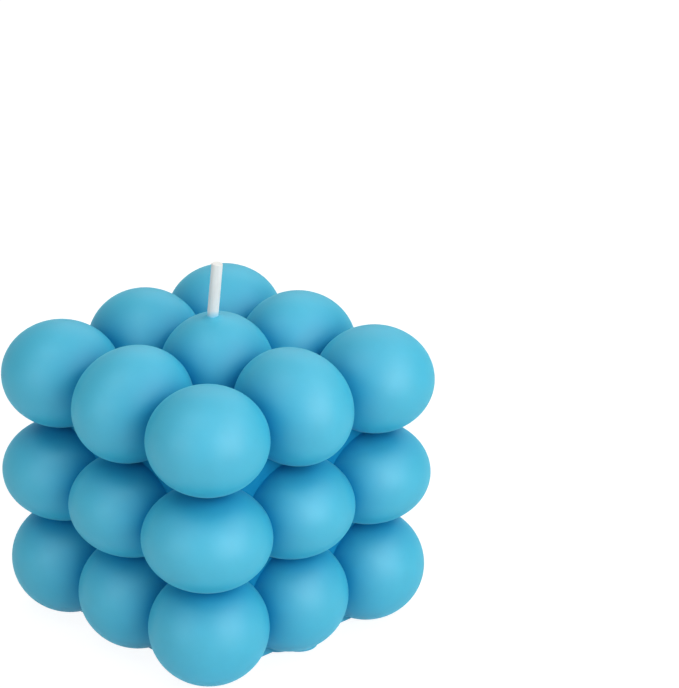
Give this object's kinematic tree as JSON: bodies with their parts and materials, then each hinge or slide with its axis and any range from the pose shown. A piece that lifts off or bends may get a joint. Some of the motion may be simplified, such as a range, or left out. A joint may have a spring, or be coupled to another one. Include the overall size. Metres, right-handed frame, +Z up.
{
  "type": "shaped candle",
  "caption": "Poured wax candle of fused round bubbles stacked into a cube, with a flat base and a short free wick leaning from its top.",
  "frame": {"origin": "middle of the levelled base, on the surface that the candle stands on", "axes": "+Z up along the wick, -Y the front row of bubbles, +X to the right"},
  "size_m": [0.0609, 0.061, 0.0665],
  "materials": {
    "wax": "satin, sky-blue dyed candle wax, slightly translucent",
    "wick": "off-white braided cotton stiffened with wax"
  },
  "bodies": {
    "root": {"wax_body": "wax", "wick": "wick"}
  },
  "joints": []
}
